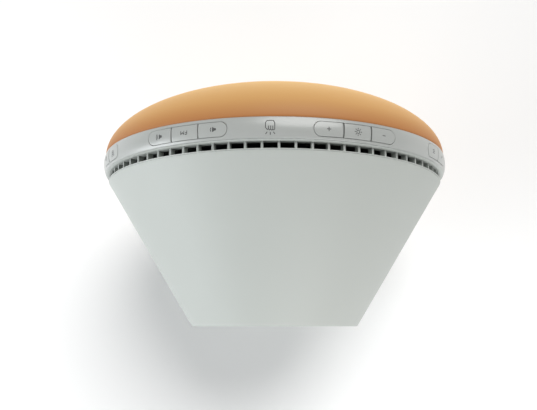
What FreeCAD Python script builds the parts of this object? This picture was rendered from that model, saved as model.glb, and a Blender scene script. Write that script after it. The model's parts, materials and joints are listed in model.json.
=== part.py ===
"""Sunrise alarm clock: a round lit dome in a rim with keys, vents behind it and a conical back on a foot.

The lamp is drawn in its own head frame and leaned back as a whole. In the head frame the Z axis is the lamp's
axis, positive towards the lit face, Y is up along the face and the cone's front edge lies at Z = 0.
"""
import FreeCAD, Part
import math
import os
import re

import Sketcher

Vector = FreeCAD.Vector
Constraint = Sketcher.Constraint

# Driving dimensions, in millimetres and degrees
SIZES = [
    ("tilt", 12, "lean of the lit face, backwards from upright"),
    ("rim_gap", 1.5, "space between the rim's lowest point and the table"),
    ("fit_gap", 0.2, "play between pieces that are pushed together"),
    ("running_gap", 0.3, "play beside and behind a moving piece"),
    ("rim_radius", 92, "rim at its widest"),
    ("rim_wall", 3.1, "rim, from its widest to its inside"),
    ("rim_back", 4.1, "rim's back edge, above the cone's front edge"),
    ("rim_front", 13.85, "rim's front edge, above the cone's front edge"),
    ("rim_widest", 9.4, "level at which the rim is widest"),
    ("rim_crown", 12, "radius of the rim's rounded outside"),
    ("dome_inset", 0.8, "lit dome's edge, inside the rim's widest"),
    ("dome_height", 36, "lit dome's height above the rim"),
    ("dome_wall", 2.4, "lit dome's wall at its middle"),
    ("dome_edge_wall", 3.8, "lit dome's wall at its edge"),
    ("dome_skirt", 1.0, "depth of the dome's skirt inside the rim"),
    ("cone_inset", 3.0, "cone's front edge, inside the rim's widest"),
    ("cone_depth", 74.4, "cone from its front edge to the flat back"),
    ("back_radius", 43.8, "flat back"),
    ("back_round", 1.2, "rounding of the flat back's edge"),
    ("shell_wall", 2.2, "wall of the cone"),
    ("plate_radius", 36, "round cover in the flat back"),
    ("plate_thickness", 2.6, "thickness of that cover"),
    ("plate_ledge", 3, "width of the ledge that the cover lies on"),
    ("vent_count", 76, "vent openings around the lamp"),
    ("vent_rib", 1.1, "width of a rib between two openings"),
    ("vent_depth", 3.8, "vent ring, from outside to inside"),
    ("vent_rim", 0.4, "rim on both sides of the openings"),
    ("vent_step", 0.2, "vent ring's step out from the cone"),
    ("vent_recess", 0.9, "ribs' step back from the vent ring's outside"),
    ("frame_plate", 2.0, "mid frame's plate"),
    ("frame_margin", 2.8, "mid frame's plate, inside the pressed keys"),
    ("frame_flange", 0.8, "mid frame's thin flange"),
    ("frame_hole", 9, "mid frame's middle hole, for the leads"),
    ("post_circle", 29.5, "circle of the three posts and spacers"),
    ("post_turn", 90, "angle of the first post"),
    ("post_radius", 4, "post on the mid frame"),
    ("post_length", 24, "post behind the mid frame's plate"),
    ("spacer_radius", 3.2, "spacer between main board and back cover"),
    ("board_thickness", 1.6, "circuit boards"),
    ("main_board_radius", 42, "main board"),
    ("screw_radius", 1.45, "shank of every screw and stud"),
    ("screw_play", 0.05, "space between a screw and its thread hole"),
    ("screw_pass", 1.7, "hole that a screw passes through"),
    ("head_radius", 2.8, "head of a screw"),
    ("head_height", 1.3, "height of a screw's head"),
    ("head_play", 0.4, "space around a sunk head"),
    ("socket_radius", 1.2, "hexagon in a screw's head, across its corners, halved"),
    ("socket_depth", 0.8, "depth of that hexagon"),
    ("grip_length", 8, "length of a screw in its thread hole"),
    ("spreader_radius", 58, "aluminium heat spreader behind the lights"),
    ("spreader_thickness", 1.5, "its thickness"),
    ("light_board_inset", 0.5, "light board's edge, inside the heat spreader's edge"),
    ("light_board_hole", 5, "its middle hole"),
    ("light_size", 3.5, "one light, across"),
    ("light_height", 0.9, "one light's height"),
    ("inner_light_inset", 22, "circle of the inner lights, inside the heat spreader's edge"),
    ("inner_lights", 12, "number of inner lights"),
    ("outer_light_inset", 8, "circle of the outer lights, inside the heat spreader's edge"),
    ("outer_lights", 18, "number of outer lights"),
    ("light_screw_inset", 8, "circle of the light board's screws, inside the heat spreader's edge"),
    ("light_screw_turn", 30, "angle of the light board's first screw"),
    ("reflector_wall", 1.0, "white reflector's wall"),
    ("reflector_margin", 0.4, "reflector's mouth, inside the key boards"),
    ("carrier_length", 54, "display carrier, across the face"),
    ("carrier_width", 24, "display carrier, up the face"),
    ("carrier_wall", 1.8, "display carrier's wall"),
    ("carrier_ledge", 3, "ledge in the carrier, under the display"),
    ("carrier_dome_gap", 1.5, "space between display carrier and dome"),
    ("display_thickness", 6, "number display"),
    ("window_thickness", 1.4, "dark window over the display"),
    ("key_height", 6.35, "key, along the lamp's axis"),
    ("key_pitch", 13.7, "distance between two keys of a row"),
    ("key_split", 0.7, "gap between two keys of a row"),
    ("key_level", 8.8, "middle of the keys, above the cone's front edge"),
    ("key_wall_gap", 0.25, "gap between a key and the rim"),
    ("key_proud", 0.12, "key's stand above the rim"),
    ("key_flange", 0.45, "key's holding flange, on each side"),
    ("key_flange_depth", 1.2, "key's holding flange, thickness"),
    ("key_travel", 0.6, "travel of a key"),
    ("key_stop_gap", 0.05, "space left between stem and switch when pressed"),
    ("stem_radius", 1.6, "key's stem"),
    ("top_row_angle", 24.4, "middle of a three-key row, from the top"),
    ("side_row_angle", 62, "middle of a two-key row, from the top"),
    ("switch_size", 4.5, "push switch, across"),
    ("switch_height", 2.2, "push switch's body"),
    ("button_radius", 1.1, "push switch's button"),
    ("button_height", 1.2, "its height"),
    ("stem_length", 4.35, "key's stem at the row's middle"),
    ("key_board_height", 5.6, "key boards, along the lamp's axis"),
    ("clip_length", 24, "rib behind a key board"),
    ("clip_thickness", 2, "its thickness"),
    ("clip_height", 3.6, "its height"),
    ("speaker_radius", 20, "loudspeaker"),
    ("speaker_rim", 3, "loudspeaker's flat rim"),
    ("speaker_rise", 4, "loudspeaker above the lamp's axis"),
    ("speaker_depth", 9.2, "loudspeaker's basket"),
    ("speaker_wall", 1.0, "basket's sheet"),
    ("speaker_throat", 11, "basket's outside at its floor"),
    ("gasket_thickness", 1.0, "foam ring between loudspeaker and cover"),
    ("magnet_radius", 9, "loudspeaker's magnet"),
    ("magnet_height", 7, "its height"),
    ("cone_sheet", 0.6, "loudspeaker's moving cone, thickness"),
    ("coil_radius", 6, "its flat middle"),
    ("grille_hole", 1.1, "radius of a sound hole"),
    ("grille_pitch", 4.6, "distance between two rings of sound holes"),
    ("grille_rings", 3, "rings of sound holes around the middle one"),
    ("inlet_drop", 26, "power inlet below the lamp's axis"),
    ("inlet_radius", 4.0, "power inlet's body"),
    ("inlet_flange", 5.5, "power inlet's flange"),
    ("inlet_flange_depth", 1.2, "its thickness"),
    ("inlet_length", 12, "power inlet behind its flange"),
    ("inlet_bore", 2.9, "power inlet's bore"),
    ("inlet_depth", 9.5, "depth of that bore"),
    ("inlet_pin", 1.0, "contact pin in the bore"),
    ("nut_radius", 5.8, "power inlet's nut, across its corners, halved"),
    ("nut_height", 2.2, "its height"),
    ("lead_radius", 0.8, "one lead"),
    ("lead_spread", 3, "distance between two leads"),
    ("socket_height", 5, "lead socket on the main board"),
    ("socket_length", 9, "its length"),
    ("socket_width", 5, "its width"),
    ("key_ring_room", 12, "room outside the rim for the tools that shape the keys"),
    ("foot_width", 72, "foot, from side to side"),
    ("foot_length", 56, "foot, from front to back"),
    ("foot_start", -12, "foot's front, behind the middle of the cone's front edge"),
    ("foot_corner", 9, "foot's corner rounding"),
    ("foot_wall", 2.4, "foot's wall"),
    ("foot_rise", 1.0, "foot's underside above the table"),
    ("foot_plate", 3.0, "foot's bottom plate"),
    ("foot_post", 4.5, "post in the foot, around its screw"),
    ("foot_screw_spread", 18, "foot's screws, from the middle"),
    ("foot_screw_head", 1.9, "sinking of the foot's screws"),
    ("boss_radius", 4, "boss in the cone, over the foot"),
    ("boss_height", 9, "boss above the cone's wall"),
    ("pad_radius", 5, "rubber foot pad"),
    ("pad_thickness", 2, "its thickness"),
    ("pad_inset", 9, "pad's middle, from the foot's sides"),
]

doc = FreeCAD.newDocument("SunriseAlarmClock")
sheet = doc.addObject("Spreadsheet::Sheet", "Sizes")
for row, (alias, amount, meaning) in enumerate(SIZES, 1):
    sheet.set(f"A{row}", alias)
    sheet.set(f"B{row}", str(amount))
    sheet.setAlias(f"B{row}", alias)
    sheet.set(f"C{row}", meaning)
doc.recompute()
ALIASES = {alias for alias, _, _ in SIZES}
SIDES = (-1, 1)
subparts = []


def size(alias):
    """The number that the sheet holds for a size."""
    return float(sheet.get(alias))


def formula(text):
    """An expression in which each size's bare name stands for its cell."""
    return re.sub(r"[a-z_]+", lambda word: f"Sizes.{word[0]}" if word[0] in ALIASES else word[0], str(text))


def bind(thing, **formulas):
    for name, text in formulas.items():
        thing.setExpression(name, formula(text))
    return thing


def spot(x=0, y=0, z=0, about=(0, 0, 1), turn=0):
    """The text of a placement: a point and a turn about an axis."""
    axis = "; ".join(str(part) for part in about)
    return f"placement(vector({x}; {y}; {z}); rotation(vector({axis}); {turn}))"


def put(thing, *steps):
    """Binds a placement to the product of frames and spots."""
    thing.setExpression("Placement", formula(" * ".join(steps)))
    return thing


def subpart(thing, name, *steps):
    """Names a finished sub-part and sets it in its frame."""
    thing.Label = name
    if steps:
        put(thing, *steps)
    subparts.append(thing)
    return thing


# Sub-formulas that several pieces share
RIM_INNER = "(rim_radius - rim_wall)"
DOME_RADIUS = "(rim_radius - dome_inset)"
CONE_RADIUS = "(rim_radius - cone_inset)"
SLOPE = f"(({CONE_RADIUS} - back_radius) / cone_depth)"
WALL_ACROSS = f"(shell_wall / cos(atan({SLOPE})))"
RIM_END_RADIUS = "(rim_radius - rim_crown + sqrt(rim_crown ^ 2 - (rim_widest - rim_back) ^ 2))"
PLATE_INNER = "(plate_thickness - cone_depth)"
FRAME_FRONT = "(rim_back + frame_plate)"
POST_END = "(rim_back - post_length)"
BOARD_BACK = f"({POST_END} - board_thickness)"
LIGHT_BOARD_BACK = f"({FRAME_FRONT} + spreader_thickness)"
LIGHT_BOARD_RADIUS = "(spreader_radius - light_board_inset)"
INNER_LIGHT_CIRCLE = "(spreader_radius - inner_light_inset)"
OUTER_LIGHT_CIRCLE = "(spreader_radius - outer_light_inset)"
LIGHT_SCREW_CIRCLE = "(spreader_radius - light_screw_inset)"
LIGHT_BOARD_FRONT = f"({LIGHT_BOARD_BACK} + board_thickness)"
DOME_INNER_RADIUS = f"({DOME_RADIUS} - dome_edge_wall)"
CARRIER_REACH = "(sqrt(carrier_length ^ 2 + carrier_width ^ 2) / 2)"
DISPLAY_FRONT = (
    f"(rim_front + (dome_height - dome_wall) * sqrt(1 - ({CARRIER_REACH} / {DOME_INNER_RADIUS}) ^ 2)"
    " - carrier_dome_gap)"
)
DISPLAY_BOARD_BACK = f"({DISPLAY_FRONT} - window_thickness - display_thickness - board_thickness)"
KEY_FLANGE_OUTER = f"({RIM_INNER} - running_gap)"
KEY_INNER = f"({KEY_FLANGE_OUTER} - key_flange_depth)"
KEY_REACH = f"({KEY_INNER} - key_travel - running_gap)"
STEM_END = f"({KEY_INNER} - stem_length)"
KEY_BOARD_FRONT = f"({STEM_END} - key_stop_gap - key_travel - button_height - switch_height)"
KEY_BOARD_SEAT = f"({KEY_BOARD_FRONT} - board_thickness)"
FRAME_RADIUS = f"({KEY_INNER} - key_travel - frame_margin)"
REFLECTOR_MOUTH = f"({KEY_BOARD_SEAT} - reflector_margin - reflector_wall)"
THREAD_HOLE = "(screw_radius + screw_play)"
HEAD_HOLE = "(head_radius + head_play)"
SPEAKER_BACK = f"({PLATE_INNER} + gasket_thickness)"
SPEAKER_FLOOR = f"({SPEAKER_BACK} + speaker_depth)"
INLET_SEAT = "(inlet_flange_depth - cone_depth)"
INLET_END = f"({INLET_SEAT} + inlet_length)"
LEAD_SOCKET_END = f"({BOARD_BACK} - socket_height)"
AXIS_HEIGHT = "(rim_gap + rim_radius * cos(tilt) - rim_back * sin(tilt))"
FRONT_REACH = (
    f"(rim_front * cos(tilt) + sqrt((dome_height * cos(tilt)) ^ 2 + ({DOME_RADIUS} * sin(tilt)) ^ 2))"
)
BACK_REACH = (
    "((cone_depth - back_round) * cos(tilt) + (back_radius - back_round) * sin(tilt) + back_round)"
)
MIDDLE = f"(({FRONT_REACH} - {BACK_REACH}) / 2)"

FOOT_MIDDLE = "(foot_start + foot_length / 2)"
CONE_FLOOR_SLOPE = f"(({SLOPE} - tan(tilt)) / (1 + {SLOPE} * tan(tilt)))"
CONE_FLOOR = (
    f"({AXIS_HEIGHT} - {CONE_RADIUS} * cos(tilt)"
    f" + ({FOOT_MIDDLE} + {CONE_RADIUS} * sin(tilt)) * {CONE_FLOOR_SLOPE})"
)
BOSS_TOP = f"({CONE_FLOOR} + foot_screw_spread ^ 2 / {CONE_RADIUS} + shell_wall + boss_height)"

# The two frames: the leaned head, and the level stand under it
head_frame = doc.addObject("Part::LocalCoordinateSystem", "Head")
put(head_frame, spot(y=MIDDLE, z=AXIS_HEIGHT, about=(1, 0, 0), turn="90 - tilt"))
stand_frame = doc.addObject("Part::LocalCoordinateSystem", "Stand")
put(stand_frame, spot(y=MIDDLE))
HEAD = "Head.Placement"
STAND = "Stand.Placement"


def row_frame(side, angle):
    """The frame of a key row: Y points out of the rim at the row's middle."""
    return [HEAD, spot(turn=f"{-side} * {angle}")]


# Part primitives and booleans, each bound to the sheet
def box(name, length, width, height, x=0, y=0, z=0):
    """A box centred on x and y, from z upwards."""
    thing = bind(doc.addObject("Part::Box", name), Length=length, Width=width, Height=height)
    return put(thing, spot(f"{x} - ({length}) / 2", f"{y} - ({width}) / 2", z))


def cylinder(name, radius, height, x=0, y=0, z=0, steps=()):
    thing = bind(doc.addObject("Part::Cylinder", name), Radius=radius, Height=height)
    return put(thing, *steps, spot(x, y, z))


def radial_cylinder(name, radius, height, x, y, z):
    """A cylinder along Y, from y outwards."""
    thing = bind(doc.addObject("Part::Cylinder", name), Radius=radius, Height=height)
    return put(thing, spot(x, y, z, about=(1, 0, 0), turn=-90))


def hexagon(name, radius, height, x=0, y=0, z=0):
    thing = doc.addObject("Part::Prism", name)
    thing.Polygon = 6
    bind(thing, Circumradius=radius, Height=height)
    return put(thing, spot(x, y, z))


def cut(name, base, *tools):
    thing = doc.addObject("Part::Cut", name)
    thing.Base = base
    thing.Tool = tools[0] if len(tools) == 1 else fuse(f"{name}_tools", *tools)
    return thing


def fuse(name, *shapes):
    thing = doc.addObject("Part::MultiFuse", name)
    thing.Shapes = list(shapes)
    return thing


def common(name, *shapes):
    thing = doc.addObject("Part::MultiCommon", name)
    thing.Shapes = list(shapes)
    return thing


def group(name, *members):
    thing = doc.addObject("Part::Compound", name)
    thing.Links = list(members)
    return thing


def around(circle, count, start=0):
    """Points on a circle, as pairs of formulas."""
    turns = [f"({start} + {360 / count * step})" for step in range(count)]
    return [(f"({circle} * cos({turn}))", f"({circle} * sin({turn}))") for turn in turns]


# Sketched bodies
def new_body(name):
    return doc.addObject("PartDesign::Body", name)


def new_sketch(body, role="XZ_Plane", offset=None):
    sketch = body.newObject("Sketcher::SketchObject", f"{body.Name}_sketch")
    planes = {plane.Role: plane for plane in body.Origin.OriginFeatures}
    sketch.AttachmentSupport = [(planes[role], "")]
    sketch.MapMode = "FlatFace"
    if offset:
        sketch.setExpression("AttachmentOffset", formula(offset))
    return sketch


def pin_point(sketch, line, end, x, y):
    """Holds one end of a line at a point that the sheet gives."""
    drawn = sketch.getPoint(line, end)
    for kind, text, start, axis in (("DistanceX", x, drawn.x, -2), ("DistanceY", y, drawn.y, -1)):
        if str(text) == "0":
            sketch.addConstraint(Constraint("PointOnObject", line, end, axis))
        else:
            count = sketch.addConstraint(Constraint(kind, -1, 1, line, end, start))
            sketch.setExpression(f"Constraints[{count}]", formula(text))


# Where an outline is drawn before its points are pulled to their places
DRAWN_MIDDLE = Vector(60, 60, 0)
DRAWN_RADIUS = 20


def outline(sketch, points):
    """A closed outline of straight lines, drawn round and then pulled to its points."""
    first = sketch.GeometryCount
    count = len(points)
    turns = [2 * math.pi * step / count for step in range(count)]
    drawn = [DRAWN_MIDDLE + DRAWN_RADIUS * Vector(math.cos(turn), math.sin(turn), 0) for turn in turns]
    for step in range(count):
        sketch.addGeometry(Part.LineSegment(drawn[step], drawn[(step + 1) % count]), False)
    for step in range(count):
        sketch.addConstraint(
            Constraint("Coincident", first + step, 2, first + (step + 1) % count, 1)
        )
    for step, (x, y) in enumerate(points):
        pin_point(sketch, first + step, 1, x, y)


def circles(sketch, radius, centres):
    """Circles of one radius, whose middles the sheet gives."""
    for x, y in centres:
        number = sketch.addGeometry(Part.Circle(Vector(1, 1, 0), Vector(0, 0, 1), 1), False)
        pin_point(sketch, number, 3, x, y)
        count = sketch.addConstraint(Constraint("Radius", number, 1))
        sketch.setExpression(f"Constraints[{count}]", formula(radius))


def turned(name, points):
    """A body of revolution about Z, from an outline of (radius, height) points."""
    body = new_body(name)
    sketch = new_sketch(body)
    outline(sketch, points)
    return spin(body, sketch)


def spin(body, sketch):
    feature = body.newObject("PartDesign::Revolution", f"{body.Name}_turned")
    feature.Profile = sketch
    feature.ReferenceAxis = (sketch, ["V_Axis"])
    feature.Angle = 360
    body.Tip = feature
    return body


def pad(body, sketch, length, reverse=False):
    feature = body.newObject("PartDesign::Pad", f"{body.Name}_pad")
    feature.Profile = sketch
    feature.Reversed = reverse
    bind(feature, Length=length)
    body.Tip = feature
    return body


def drill(body, radius, centres, level, depth, down):
    """Round pockets from a level, downwards or upwards along Z."""
    sketch = new_sketch(body, "XY_Plane", spot(z=level))
    circles(sketch, radius, centres)
    feature = body.newObject("PartDesign::Pocket", f"{body.Name}_pocket")
    feature.Profile = sketch
    feature.Reversed = not down
    bind(feature, Length=depth)
    body.Tip = feature
    return body


def rounded(body, edges, radius):
    """Rounds edges of the body's last feature."""
    sharp = body.Tip
    rounding = body.newObject("PartDesign::Fillet", f"{body.Name}_rounding")
    rounding.Base = (sharp, edges)
    bind(rounding, Radius=radius)
    body.Tip = rounding
    return body


def crowned_ring(name, inner, proud):
    """A ring with the rim's rounded outside, moved outwards by proud."""
    body = new_body(name)
    sketch = new_sketch(body)
    inside = size("rim_radius") - size("rim_wall")
    back, front = size("rim_back"), size("rim_front")
    crown = size("rim_crown")
    level = size("rim_widest")
    middle = size("rim_radius") - crown
    starts = [math.asin((edge - level) / crown) for edge in (back, front)]
    circle = Part.Circle(Vector(middle, level, 0), Vector(0, 0, 1), crown)
    sketch.addGeometry(Part.ArcOfCircle(circle, *starts), False)
    ends = [Vector(middle + crown * math.cos(turn), edge, 0) for turn, edge in zip(starts, (back, front))]
    corners = [ends[1], Vector(inside, front, 0), Vector(inside, back, 0), ends[0]]
    for start, end in zip(corners, corners[1:]):
        sketch.addGeometry(Part.LineSegment(start, end), False)
    for first, second in ((0, 1), (1, 2), (2, 3)):
        sketch.addConstraint(Constraint("Coincident", first, 2, second, 1))
    sketch.addConstraint(Constraint("Coincident", 3, 2, 0, 1))
    sketch.addConstraint(Constraint("Horizontal", 1))
    sketch.addConstraint(Constraint("Horizontal", 3))
    pin_point(sketch, 2, 1, inner, "rim_front")
    pin_point(sketch, 2, 2, inner, "rim_back")
    pin_point(sketch, 0, 3, f"rim_radius + {proud} - rim_crown", "rim_widest")
    count = sketch.addConstraint(Constraint("Radius", 0, crown))
    sketch.setExpression(f"Constraints[{count}]", formula("rim_crown"))
    return spin(body, sketch)


QUARTER_WEIGHT = math.sqrt(0.5)


def quarter_oval(sketch, across, up):
    """A quarter of an ellipse from the rim's front edge to the axis, as a spline held by its three poles."""
    base = size("rim_front")
    wide, high = across[0], base + up[0]
    poles = [Vector(wide, base, 0), Vector(wide, high, 0), Vector(0, high, 0)]
    curve = Part.BSplineCurve(poles, [3, 3], [0, 1], False, 2, [1, QUARTER_WEIGHT, 1])
    arc = sketch.addGeometry(curve, False)
    first_pole = sketch.GeometryCount
    sketch.exposeInternalGeometry(arc)
    top = f"rim_front + {up[1]}"
    for step, (x, y) in enumerate(((across[1], "rim_front"), (across[1], top), (0, top))):
        pin_point(sketch, first_pole + step, 3, x, y)
    return arc


def front_diffuser():
    """The translucent dome: two quarter ovals and a short skirt, turned about the axis."""
    body = new_body("dome_body")
    sketch = new_sketch(body)
    base = size("rim_front")
    outer = (size("rim_radius") - size("dome_inset"), size("dome_height"))
    inner = (outer[0] - size("dome_edge_wall"), outer[1] - size("dome_wall"))
    arcs = [
        quarter_oval(sketch, (outer[0], DOME_RADIUS), (outer[1], "dome_height")),
        quarter_oval(sketch, (inner[0], DOME_INNER_RADIUS), (inner[1], "(dome_height - dome_wall)")),
    ]
    low = base - size("dome_skirt")
    fit = size("rim_radius") - size("rim_wall") - size("fit_gap")
    middle = sketch.addGeometry(
        Part.LineSegment(Vector(0, base + outer[1], 0), Vector(0, base + inner[1], 0)), False
    )
    sketch.addConstraint(Constraint("Coincident", middle, 1, arcs[0], 2))
    sketch.addConstraint(Constraint("Coincident", middle, 2, arcs[1], 2))
    corners = [
        Vector(inner[0], base, 0),
        Vector(inner[0], low, 0),
        Vector(fit, low, 0),
        Vector(fit, base, 0),
        Vector(outer[0], base, 0),
    ]
    edge = [
        sketch.addGeometry(Part.LineSegment(start, end), False)
        for start, end in zip(corners, corners[1:])
    ]
    for first, second in zip(edge, edge[1:]):
        sketch.addConstraint(Constraint("Coincident", first, 2, second, 1))
    sketch.addConstraint(Constraint("Coincident", edge[0], 1, arcs[1], 1))
    sketch.addConstraint(Constraint("Coincident", edge[-1], 2, arcs[0], 1))
    sketch.addConstraint(Constraint("Vertical", edge[0]))
    sketch.addConstraint(Constraint("Horizontal", edge[1]))
    sketch.addConstraint(Constraint("Vertical", edge[2]))
    sketch.addConstraint(Constraint("Horizontal", edge[3]))
    pin_point(sketch, edge[2], 1, f"{RIM_INNER} - fit_gap", "rim_front - dome_skirt")
    subpart(spin(body, sketch), "front_diffuser", HEAD)


# Key rows: name, side of the lamp (+1 is +X), angle from the top, and key names from the top outwards
ROWS = (
    ("sound", 1, "top_row_angle", ("volume_down_key", "radio_key", "volume_up_key")),
    ("light", -1, "top_row_angle", ("light_up_key", "lamp_key", "light_down_key")),
    ("alarm", 1, "side_row_angle", ("alarm_one_key", "alarm_two_key")),
    ("menu", -1, "side_row_angle", ("menu_key", "select_key")),
)


def row_spots(side, names):
    """Key places along a row's X, from the key nearest the top outwards."""
    middle = (len(names) - 1) / 2
    return [side * (step - middle) for step in range(len(names))]


def plan(name, steps, first, last, grow, y, depth):
    """A prism along Y with the plan of a key or of a row: round where it ends the row."""
    length = f"(key_pitch * {steps[1] - steps[0] + 1} - key_split + 2 * ({grow}))"
    height = f"(key_height + 2 * ({grow}))"
    middle = f"(key_pitch * {(steps[0] + steps[1]) / 2})"
    low, high = f"({height} / 2)" if first else "0", f"({height} / 2)" if last else "0"
    straight = f"({length} - {low} - {high})"
    shift = f"(({low} - {high}) / 2)"
    shapes = [
        box(f"{name}_plan", straight, depth, height, f"({middle} + {shift})", f"({y} + ({depth}) / 2)",
            f"(key_level - {height} / 2)")
    ]
    for end, rounded in ((-1, first), (1, last)):
        if rounded:
            x = f"({middle} + {end} * ({length} / 2 - {height} / 2))"
            shapes.append(radial_cylinder(f"{name}_round", f"{height} / 2", depth, x, y, "key_level"))
    return fuse(f"{name}_prism", *shapes) if len(shapes) > 1 else shapes[0]


PRISM_DEPTH = f"(rim_radius + key_ring_room - {KEY_BOARD_SEAT})"


def rim_band():
    """The rim, with one long opening for each row of keys."""
    ring = crowned_ring("rim_ring", RIM_INNER, 0)
    openings = []
    for row, side, angle, names in ROWS:
        reach = (len(names) - 1) / 2
        slot = plan(f"{row}_opening", (-reach, reach), True, True, "key_wall_gap", KEY_BOARD_SEAT,
                    PRISM_DEPTH)
        turned_slot = group(f"{row}_opening_turned", slot)
        openings.append(put(turned_slot, spot(turn=f"{-side} * {angle}")))
    subpart(cut("rim_cut", ring, *openings), "rim_band", HEAD)


def keys():
    """Each key: a cap that follows the rim, a holding flange inside the rim and a stem to its switch."""
    cap_ring = crowned_ring("cap_ring", KEY_INNER, "key_proud")
    level = "(key_level - key_height / 2 - key_flange)"
    height = "(key_height + 2 * key_flange)"
    flange_ring = cut(
        "flange_ring",
        cylinder("flange_outside", KEY_FLANGE_OUTER, height, z=level),
        cylinder("flange_inside", KEY_INNER, height, z=level),
    )
    for row, side, angle, names in ROWS:
        for name, step in zip(names, row_spots(side, names)):
            ends = (name in (names[0], names[-1]) and step < 0, name in (names[0], names[-1]) and step > 0)
            cap = common(
                f"{name}_cap", cap_ring, plan(name, (step, step), *ends, "0", KEY_BOARD_SEAT, PRISM_DEPTH)
            )
            plate = box(f"{name}_plate", "key_pitch - key_split", PRISM_DEPTH, height,
                        f"(key_pitch * {step})", f"({KEY_BOARD_SEAT} + {PRISM_DEPTH} / 2)", level)
            flange = common(f"{name}_flange", flange_ring, plate)
            x = f"(key_pitch * {step})"
            length = f"(sqrt(({KEY_INNER} + key_flange) ^ 2 - {x} ^ 2) - {STEM_END})"
            stem = radial_cylinder(f"{name}_stem", "stem_radius", length, x, STEM_END, "key_level")
            subpart(fuse(f"{name}_solid", cap, flange, stem), name, *row_frame(side, angle))


def key_boards():
    """A board behind each row, and a push switch behind each key."""
    switches = []
    for row, side, angle, names in ROWS:
        length = f"(key_pitch * {len(names)} - key_split - 2 * key_flange)"
        board = bind(doc.addObject("Part::Box", f"{row}_board"), Length=length, Width="board_thickness",
                     Height="key_board_height")
        subpart(board, f"{row}_key_board", *row_frame(side, angle),
                spot(f"-{length} / 2", KEY_BOARD_SEAT, FRAME_FRONT))
        for name, step in zip(names, row_spots(side, names)):
            x = f"(key_pitch * {step})"
            base = box(f"{name}_switch_base", "switch_size", "switch_height", "switch_size", x,
                       f"({KEY_BOARD_FRONT} + switch_height / 2)", "(key_level - switch_size / 2)")
            button = radial_cylinder(f"{name}_switch_button", "button_radius", "button_height", x,
                                     f"({KEY_BOARD_FRONT} + switch_height)", "key_level")
            switches.append(put(fuse(f"{name}_switch", base, button), *row_frame(side, angle)))
    subpart(group("switch_group", *switches), "key_switches")


def vent_ring():
    """The ring of vent openings between the cone and the rim."""
    outside = f"({CONE_RADIUS} + vent_step)"
    inside = f"({CONE_RADIUS} - vent_depth)"
    groove = f"({outside} - vent_recess)"
    ring = turned("vent_body", [
        (inside, "0"),
        (CONE_RADIUS, "0"),
        (outside, "vent_rim"),
        (groove, "vent_rim"),
        (groove, "rim_back - vent_rim"),
        (outside, "rim_back - vent_rim"),
        (RIM_END_RADIUS, "rim_back"),
        (inside, "rim_back"),
    ])
    count = int(size("vent_count"))
    width = f"(2 * pi * {CONE_RADIUS} / vent_count - vent_rib)"
    slots = []
    for step in range(count):
        slot = bind(
            doc.addObject("Part::Box", f"vent_slot_{step}"),
            Length=width, Width="3 * vent_depth", Height="rim_back - 2 * vent_rim",
        )
        put(slot, spot(turn=f"({step} * 360 / vent_count)"),
            spot(f"-{width} / 2", f"{CONE_RADIUS} - 2 * vent_depth", "vent_rim"))
        slots.append(slot)
    subpart(cut("vent_cut", ring, group("vent_slots", *slots)), "vent_ring", HEAD)


def rear_housing():
    """The cone, with a ledge for the back cover and two bosses over the foot."""
    inner_depth = "(cone_depth - plate_thickness - shell_wall)"
    shell = turned("cone_body", [
        (CONE_RADIUS, "0"),
        ("back_radius", "-cone_depth"),
        ("plate_radius + fit_gap", "-cone_depth"),
        ("plate_radius + fit_gap", PLATE_INNER),
        ("plate_radius - plate_ledge", PLATE_INNER),
        ("plate_radius - plate_ledge", f"-{inner_depth}"),
        (f"{CONE_RADIUS} - {WALL_ACROSS} - {inner_depth} * {SLOPE}", f"-{inner_depth}"),
        (f"{CONE_RADIUS} - {WALL_ACROSS}", "0"),
    ])
    doc.recompute()
    edges = [
        f"Edge{number}"
        for number, edge in enumerate(shell.Shape.Edges, 1)
        if abs(edge.BoundBox.ZMax + size("cone_depth")) < 0.001
        and abs(edge.BoundBox.XMax - size("back_radius")) < 0.001
    ]
    put(rounded(shell, edges, "back_round"), HEAD)
    full = bind(doc.addObject("Part::Cone", "cone_solid"), Radius1="back_radius", Radius2=CONE_RADIUS,
                Height="cone_depth")
    put(full, HEAD, spot(z="-cone_depth"))
    bosses = []
    holes = []
    for side in SIDES:
        x = f"({side} * foot_screw_spread)"
        column = cylinder(f"boss_column_{side + 1}", "boss_radius", BOSS_TOP, x, FOOT_MIDDLE, 0, [STAND])
        bosses.append(common(f"boss_{side + 1}", column, full))
        holes.append(cylinder(f"boss_hole_{side + 1}", THREAD_HOLE, f"{BOSS_TOP} - shell_wall",
                              x, FOOT_MIDDLE, 0, [STAND]))
    subpart(cut("housing_cut", fuse("housing_fuse", shell, *bosses), *holes), "rear_housing")


def cone_cutter(name, away):
    """A long cone that keeps a distance from the housing's outside, for trimming the foot."""
    front = "(2 * rim_front)"
    back = "(cone_depth + 2 * rim_front)"
    grow = f"({away} / cos(atan({SLOPE})))"
    cutter = bind(
        doc.addObject("Part::Cone", name),
        Radius1=f"back_radius + {grow} - 2 * rim_front * {SLOPE}",
        Radius2=f"{CONE_RADIUS} + {grow} + {front} * {SLOPE}",
        Height=f"{front} + {back}",
    )
    return put(cutter, HEAD, spot(z=f"-{back}"))


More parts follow.
